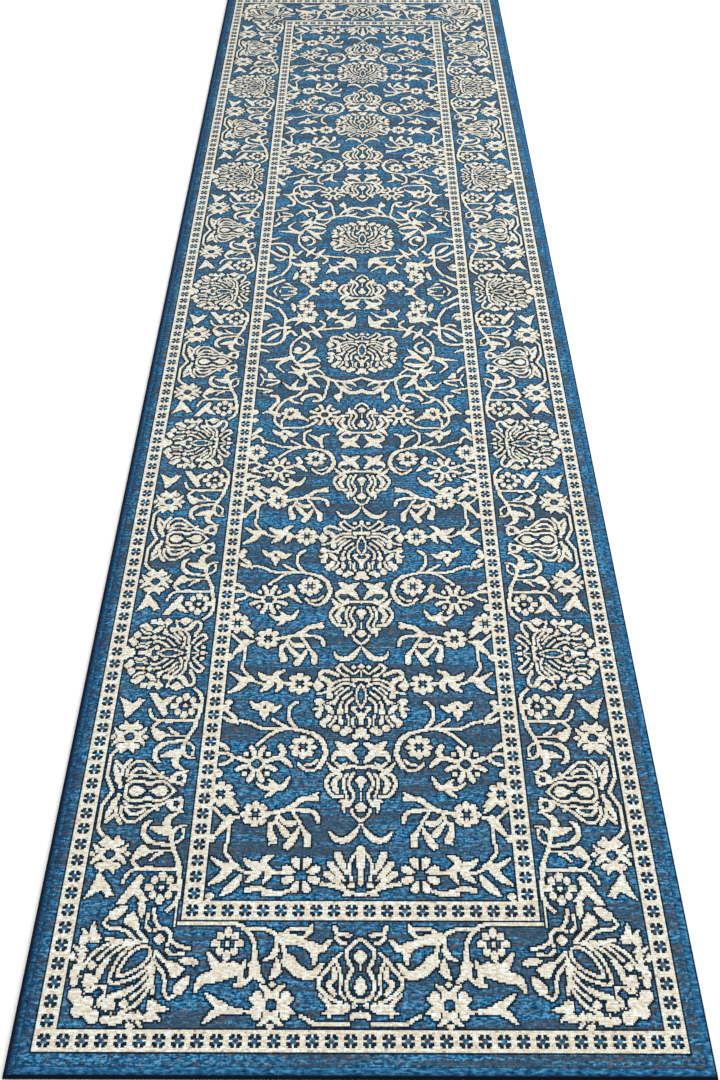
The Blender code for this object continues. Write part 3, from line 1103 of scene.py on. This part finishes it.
def pile_piece(name, first_column, last_column, first_row, last_row):
    """The tufts from one column and row to another, as one closed strip of pile."""
    top = tuft_corners[first_row:last_row + 1, first_column:last_column + 1]
    points, quads, sides, base = slab(top, pile_low[2])
    mesh = bpy.data.meshes.new(name)
    mesh.vertices.add(len(points))
    mesh.vertices.foreach_set("co", points.ravel())
    add_faces(mesh, quads, sides, base)
    for finish in tuft_finishes:
        mesh.materials.append(finish)
    yarn = yarn_of_tuft[first_row:last_row, first_column:last_column].ravel()
    mesh.polygons.foreach_set("material_index", np.concatenate([yarn, np.zeros(len(sides) + 1, int)]))
    mesh.update(calc_edges=True)
    mesh.shade_smooth()
    mesh.set_sharp_from_angle(angle=STRIP_EDGE_ANGLE)
    bake_layout(mesh, last_row - first_row, last_column - first_column, len(sides), len(base))
    piece = bpy.data.objects.new(name, mesh)
    bpy.context.scene.collection.objects.link(piece)
    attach(piece, "root")
    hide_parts("pile_face")
    return piece


# ---------------------------------------------------------------- the pile

rug_low, rug_high = cad_bounds
pile_low, pile_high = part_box("pile_face")
tuft_width = (pile_high[0] - pile_low[0]) / TUFTS_ACROSS
tuft_length = (pile_high[1] - pile_low[1]) / TUFTS_ALONG

BLUE, CREAM, NAVY = range(3)
TUFT_DEPTH = {BLUE: 0.0003, CREAM: 0.0, NAVY: 0.0006}
TUFT_UNEVENNESS = 0.00035
SHOULDER_DROPS = (0.0007, 0.0002)
STRIP_EDGE_ANGLE = math.radians(70)
FIELD_SIDE = 60

cream_tufts, outline_tufts = design()
yarn_of_tuft = np.where(cream_tufts, CREAM, np.where(outline_tufts, NAVY, BLUE))


def tuft_corner_points():
    """Where the corners of all tufts stand: cream a little proud, outlines sunk, edges rolled down."""
    depth = np.select([yarn_of_tuft == yarn for yarn in TUFT_DEPTH], list(TUFT_DEPTH.values()))
    padded = np.pad(depth, 1, mode="edge")
    depth = (padded[:-1, :-1] + padded[1:, :-1] + padded[:-1, 1:] + padded[1:, 1:]) / 4
    random = np.random.default_rng(SEED)
    depth = depth + random.uniform(0, TUFT_UNEVENNESS, depth.shape)
    for ring, drop in enumerate(SHOULDER_DROPS):
        inner = np.zeros_like(depth, bool)
        inner[ring + 1:-ring - 1, ring + 1:-ring - 1] = True
        outer = np.zeros_like(depth, bool)
        outer[ring:depth.shape[0] - ring, ring:depth.shape[1] - ring] = True
        depth[outer & ~inner] += drop
    x = np.linspace(pile_low[0], pile_high[0], TUFTS_ACROSS + 1)
    y = np.linspace(pile_low[1], pile_high[1], TUFTS_ALONG + 1)
    x, y = np.meshgrid(x, y)
    return np.stack([x, y, pile_high[2] - depth], -1)


tuft_corners = tuft_corner_points()
# Each yarn's dark colour is also the painted shade along the rug's left edge and near end.
tuft_finishes = [
    tuft_yarn(
        "blue_tufts", (0.0016, 0.024, 0.068), (0.011, 0.110, 0.236), (0.105, 0.320, 0.50),
        (0.036, 0.050, 0.068), 0.8, 0.06,
    ),
    tuft_yarn(
        "cream_tufts", (0.50, 0.40, 0.28), (0.63, 0.61, 0.51), (0.74, 0.84, 0.84),
        (0.58, 0.50, 0.38), 0.35, 0.025,
    ),
    tuft_yarn(
        "navy_tufts", (0.001, 0.004, 0.010), (0.003, 0.015, 0.033), (0.014, 0.050, 0.088),
        (0.006, 0.010, 0.016), 0.4, 0.01,
    ),
]


def ring_pieces(name, inset, width):
    """The four strips of a band that runs round the rug: the long sides whole, the ends between them."""
    far_column = TUFTS_ACROSS - inset
    far_row = TUFTS_ALONG - inset
    return [
        pile_piece(f"{name}_left", inset, inset + width, inset, far_row),
        pile_piece(f"{name}_right", far_column - width, far_column, inset, far_row),
        pile_piece(f"{name}_near", inset + width, far_column - width, inset, inset + width),
        pile_piece(f"{name}_far", inset + width, far_column - width, far_row - width, far_row),
    ]


pile_pieces = ring_pieces("pile_plain_band", 0, PLAIN_BAND)
pile_pieces += ring_pieces("pile_outer_guard", PLAIN_BAND, GUARD_WIDTH)
pile_pieces += ring_pieces("pile_border", PLAIN_BAND + GUARD_WIDTH, INNER_GUARD - PLAIN_BAND - GUARD_WIDTH)
pile_pieces += ring_pieces("pile_inner_guard", INNER_GUARD, GUARD_WIDTH)
side_end = FIELD + FIELD_SIDE
field_columns = [FIELD, side_end, TUFTS_ACROSS - side_end, TUFTS_ACROSS - FIELD]
for side, start, end in zip(("left", "middle", "right"), field_columns, field_columns[1:]):
    pile_pieces.append(pile_piece(f"pile_field_{side}", start, end, FIELD, TUFTS_ALONG - FIELD))

# ---------------------------------------------------------------- bindings

TURN_PITCH = 0.003
SAMPLES_PER_TURN = 4
TURN_DEPTH = 0.00045
TURN_SLANT = 0.0016
MITRE_GAP = 0.0003
ARC_POINTS = 10
HEEL_BEVEL = 0.0008
LAYER_GAP = 0.0003


def binding_outline(low, high, slot_low, slot_high, cord_height, bore):
    """A binding's section, as distance in from the rug's edge and height: (inset, height, is_outside)."""
    radius = (high - low) / 2
    middle = (high + low) / 2
    outline = [(binding_width, low + HEEL_BEVEL, 1), (binding_width - HEEL_BEVEL, low, 1)]
    for step in range(ARC_POINTS + 1):
        angle = math.pi * step / ARC_POINTS
        outline.append((radius - radius * math.sin(angle), middle - radius * math.cos(angle), 1))
    outline += [(binding_width - HEEL_BEVEL, high, 1), (binding_width, high - HEEL_BEVEL, 1)]
    outline += [(binding_width, slot_high, 0), (radius + bore, slot_high, 0)]
    for angle in (60, 0, -60):
        turn = math.radians(90 + angle * 1.5)
        outline.append((radius - bore * math.sin(turn), cord_height + bore * math.cos(turn), 0))
    outline += [(radius + bore, slot_low, 0), (binding_width, slot_low, 0)]
    return outline


def binding_piece(side, half_length, half_across, turn):
    """Yarn turns laid side by side over the edge cord, mitred at both ends."""
    outline = np.array(binding_outline(*binding_heights), float)
    inset, height, outside = outline.T
    count = int(2 * half_length / TURN_PITCH * SAMPLES_PER_TURN)
    t = np.linspace(-1, 1, count + 1)[:, None]
    along = t * (half_length - inset - MITRE_GAP)
    round_way = np.linspace(0, 1, len(outline))
    phase = (along + TURN_SLANT * np.sin(math.pi * round_way)) / TURN_PITCH
    sunk = TURN_DEPTH * (1 - np.abs(np.sin(math.pi * phase))) * outside
    middle = (binding_heights[0] + binding_heights[1]) / 2
    centre = np.array([middle, middle])
    toward = np.stack([centre[0] - inset, centre[1] - height], -1)
    toward /= np.linalg.norm(toward, axis=1)[:, None]
    toward[inset > middle, 0] = 0
    across = inset + sunk * toward[:, 0]
    up = height + sunk * toward[:, 1]
    points = np.stack([-half_across + across, along + 0 * across, up + 0 * across], -1)
    c, s = math.cos(turn), math.sin(turn)
    points = points @ np.array([[c, s, 0], [-s, c, 0], [0, 0, 1]])
    rings, size = points.shape[:2]
    number = np.arange(rings * size).reshape(rings, size)
    next_one = np.roll(number, -1, axis=1)
    walls = np.stack([number[:-1], next_one[:-1], next_one[1:], number[1:]], -1).reshape(-1, 4)
    faces = walls.tolist() + [number[0, ::-1].tolist(), number[-1].tolist()]
    name = f"{side}_overcast_binding"
    piece = make_piece(name, points.reshape(-1, 3).tolist(), faces, binding_finish)
    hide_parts(f"{side}_binding")
    return piece


binding_low, binding_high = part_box("left_binding")
weave_low, weave_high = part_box("ground_weave")
cord_low, cord_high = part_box("left_edge_cord")
binding_width = binding_high[0] - binding_low[0]
cord_height = (cord_low[2] + cord_high[2]) / 2
binding_heights = (
    binding_low[2], binding_high[2],
    weave_low[2] - LAYER_GAP, weave_high[2] + LAYER_GAP,
    cord_height, (cord_high[2] - cord_low[2]) / 2 + LAYER_GAP,
)
# Colours: painted edge shade; dark, used for the dye's darker turns and for the painted shade on the left
# and near sides; blue; light.
binding_finish = wrapped_yarn(
    "binding_yarn_turns",
    (0.0010, 0.0025, 0.007), (0.0015, 0.009, 0.029), (0.010, 0.092, 0.205), (0.070, 0.240, 0.410),
)
half_width = (rug_high[0] - rug_low[0]) / 2
half_length = (rug_high[1] - rug_low[1]) / 2
binding_pieces = [
    binding_piece("left", half_length, half_width, 0),
    binding_piece("near", half_width, half_length, math.pi / 2),
    binding_piece("right", half_length, half_width, math.pi),
    binding_piece("far", half_width, half_length, -math.pi / 2),
]

# ---------------------------------------------------------------- cloths under the pile

BACKING_PITCH = 0.005
WEAVE_PITCH = 0.0055


def woven_piece(name, node, finish, pitch, relief, faces_down):
    """A closed sheet whose yarn crossings stand alternately proud and sunk on one face."""
    low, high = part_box(node)
    columns = round((high[0] - low[0]) / pitch) + 1
    rows = round((high[1] - low[1]) / pitch) + 1
    x, y = np.meshgrid(np.linspace(low[0], high[0], columns), np.linspace(low[1], high[1], rows))
    over = (np.add.outer(np.arange(rows), np.arange(columns)) % 2) * relief
    if faces_down:
        top = np.stack([x, y, high[2] - low[2] - over], -1)
        points, quads, sides, base = slab(top, 0.0)
        points = points * (1, -1, -1) + (0, 0, high[2])
    else:
        top = np.stack([x, y, high[2] - over], -1)
        points, quads, sides, base = slab(top, low[2])
    faces = quads.tolist() + sides.tolist() + [base.tolist()]
    piece = make_piece(name, points.tolist(), faces, finish)
    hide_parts(node)
    return piece


backing_finish = woven_cloth("jute_backing", (0.46, 0.33, 0.19), (0.22, 0.14, 0.075), BACKING_PITCH)
weave_finish = woven_cloth("ground_weave_yarn", (0.09, 0.13, 0.20), (0.03, 0.05, 0.09), WEAVE_PITCH)
backing = woven_piece(
    "jute_backing_cloth", "backing_cloth", backing_finish, BACKING_PITCH, 0.0005, True
)
ground = woven_piece(
    "ground_weave_cloth", "ground_weave", weave_finish, WEAVE_PITCH, 0.0006, False
)

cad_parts["latex_coat"].data.materials[0] = rubber_coat("latex_coat_film", (0.55, 0.50, 0.40))
cord_finish = twisted_cord("edge_cord_cotton", (0.62, 0.58, 0.48))
for side in ("left", "right", "near", "far"):
    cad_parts[f"{side}_edge_cord"].data.materials[0] = cord_finish

# ---------------------------------------------------------------- stage, light and camera

FLOOR_REACH = 150.0
SKY_STRENGTH = 0.75
KEY_PLACE = (2.6, 0.5, 3.2)
KEY_WATTS = 198
FILL_PLACE = (-2.4, -2.4, 2.6)
FILL_WATTS = 40
FOCAL_LENGTH = 36.53
EYE_PLACE = (0.0009, -1.8821, 1.3137)
EYE_TILT = math.radians(42.52)
EYE_TURN = math.radians(0.16)


def studio_floor():
    """A plain pale floor that reaches out of sight."""
    corners = ((-1, -1), (1, -1), (1, 1), (-1, 1))
    points = [(x * FLOOR_REACH, y * FLOOR_REACH, 0) for x, y in corners]
    mesh = bpy.data.meshes.new("floor")
    mesh.from_pydata(points, [], [(0, 1, 2, 3)])
    paper = Finish("floor_paper")
    grain = paper.noise(paper.x * 3, paper.y * 3)
    tone = paper.mix(grain, (0.84, 0.84, 0.84), (0.87, 0.87, 0.87))
    mesh.materials.append(paper.done(tone, 0.7 + 0.1 * grain))
    floor = bpy.data.objects.new("floor", mesh)
    bpy.context.scene.collection.objects.link(floor)


def soft_light(name, place, aim, size, watts):
    light = bpy.data.lights.new(name, "AREA")
    light.shape = "RECTANGLE"
    light.size, light.size_y = size
    light.energy = watts
    lamp = bpy.data.objects.new(name, light)
    lamp.location = place
    way = np.array(aim, float) - place
    lamp.rotation_euler = (math.atan2(math.hypot(way[0], way[1]), -way[2]), 0, math.atan2(-way[0], way[1]))
    bpy.context.scene.collection.objects.link(lamp)


def studio():
    scene = bpy.context.scene
    scene.view_settings.view_transform = "Standard"
    scene.world = bpy.data.worlds.new("studio")
    scene.world.use_nodes = True
    background = scene.world.node_tree.nodes["Background"]
    background.inputs["Color"].default_value = (1.0, 1.0, 1.0, 1.0)
    background.inputs["Strength"].default_value = SKY_STRENGTH
    soft_light("key", KEY_PLACE, (0, 0, 0), (3.0, 4.0), KEY_WATTS)
    soft_light("fill", FILL_PLACE, (0, 0, 0), (2.5, 2.5), FILL_WATTS)
    lens = bpy.data.cameras.new("camera")
    lens.sensor_width = 36.0
    lens.lens = FOCAL_LENGTH
    camera = bpy.data.objects.new("camera", lens)
    camera.location = EYE_PLACE
    camera.rotation_euler = (EYE_TILT, 0, EYE_TURN)
    scene.collection.objects.link(camera)
    scene.camera = camera


studio_floor()
studio()
